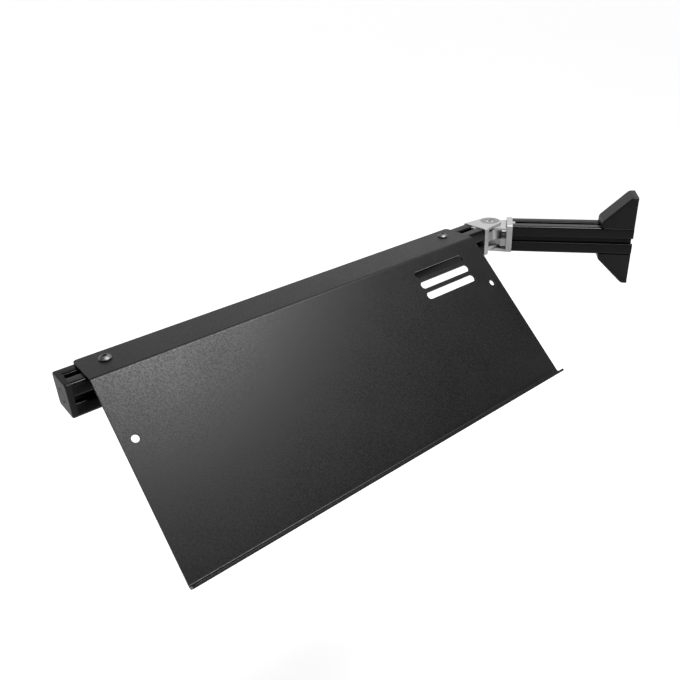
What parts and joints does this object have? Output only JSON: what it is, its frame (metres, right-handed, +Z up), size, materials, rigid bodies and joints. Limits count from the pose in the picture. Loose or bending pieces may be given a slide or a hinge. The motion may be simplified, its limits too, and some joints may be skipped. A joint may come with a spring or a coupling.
{
  "type": "swing-arm keyboard tray",
  "caption": "Bent sheet-metal keyboard tray with a front lip, bolted to a slotted beam that swings on a vertical joint at the end of a short bracketed arm.",
  "frame": {"origin": "centre of the arm profile's end face, midway between the two post bolt holes, on the plane that meets the post", "axes": "+X from the arm into the post, +Z up, -Y the side from which the tray is used"},
  "size_m": [0.6337, 0.6329, 0.1952],
  "materials": {
    "tray_powder_coat": "fine-textured matt black powder coat on steel sheet",
    "black_anodised": "black anodised, satin",
    "bracket_black": "black coated die casting",
    "cover_plastic": "fine-grained matt black moulding",
    "joint_casting": "bare die casting, tumbled",
    "bush_steel": "turned steel",
    "bolt_steel": "bright zinc plate",
    "tray_bolt_steel": "dark zinc plate",
    "zinc_steel": "zinc plate"
  },
  "bodies": {
    "arm": {"arm_profile": "black_anodised", "upper_bracket": "bracket_black", "lower_bracket": "bracket_black", "upper_bracket_cover": "cover_plastic", "lower_bracket_cover": "cover_plastic", "bracket_bolts": "bolt_steel", "bracket_washers": "zinc_steel", "bracket_slot_nuts": "zinc_steel", "arm_joint_half": "joint_casting", "arm_end_bolt": "bolt_steel"},
    "beam": {"beam_joint_half": "joint_casting", "beam_end_bolt": "bolt_steel", "pivot_bolt": "bolt_steel", "pivot_nut": "zinc_steel", "pivot_upper_bush": "bush_steel", "pivot_lower_bush": "bush_steel", "beam_profile": "black_anodised", "beam_end_cap": "cover_plastic"},
    "tray": {"tray_plate": "tray_powder_coat", "tray_bolts": "tray_bolt_steel", "tray_slot_nuts": "zinc_steel"}
  },
  "joints": [
    {"name": "swing", "type": "hinge", "parent": "arm", "child": "beam", "pos_m": [-0.2021, 0, 0], "axis": [0, 0, 1], "range_deg": [-140.3, 39.7]},
    {"name": "tray_slide", "type": "slide", "parent": "beam", "child": "tray", "axis": [-0.6388, -0.7694, 0], "range_m": [-0.038, 0.022]}
  ]
}
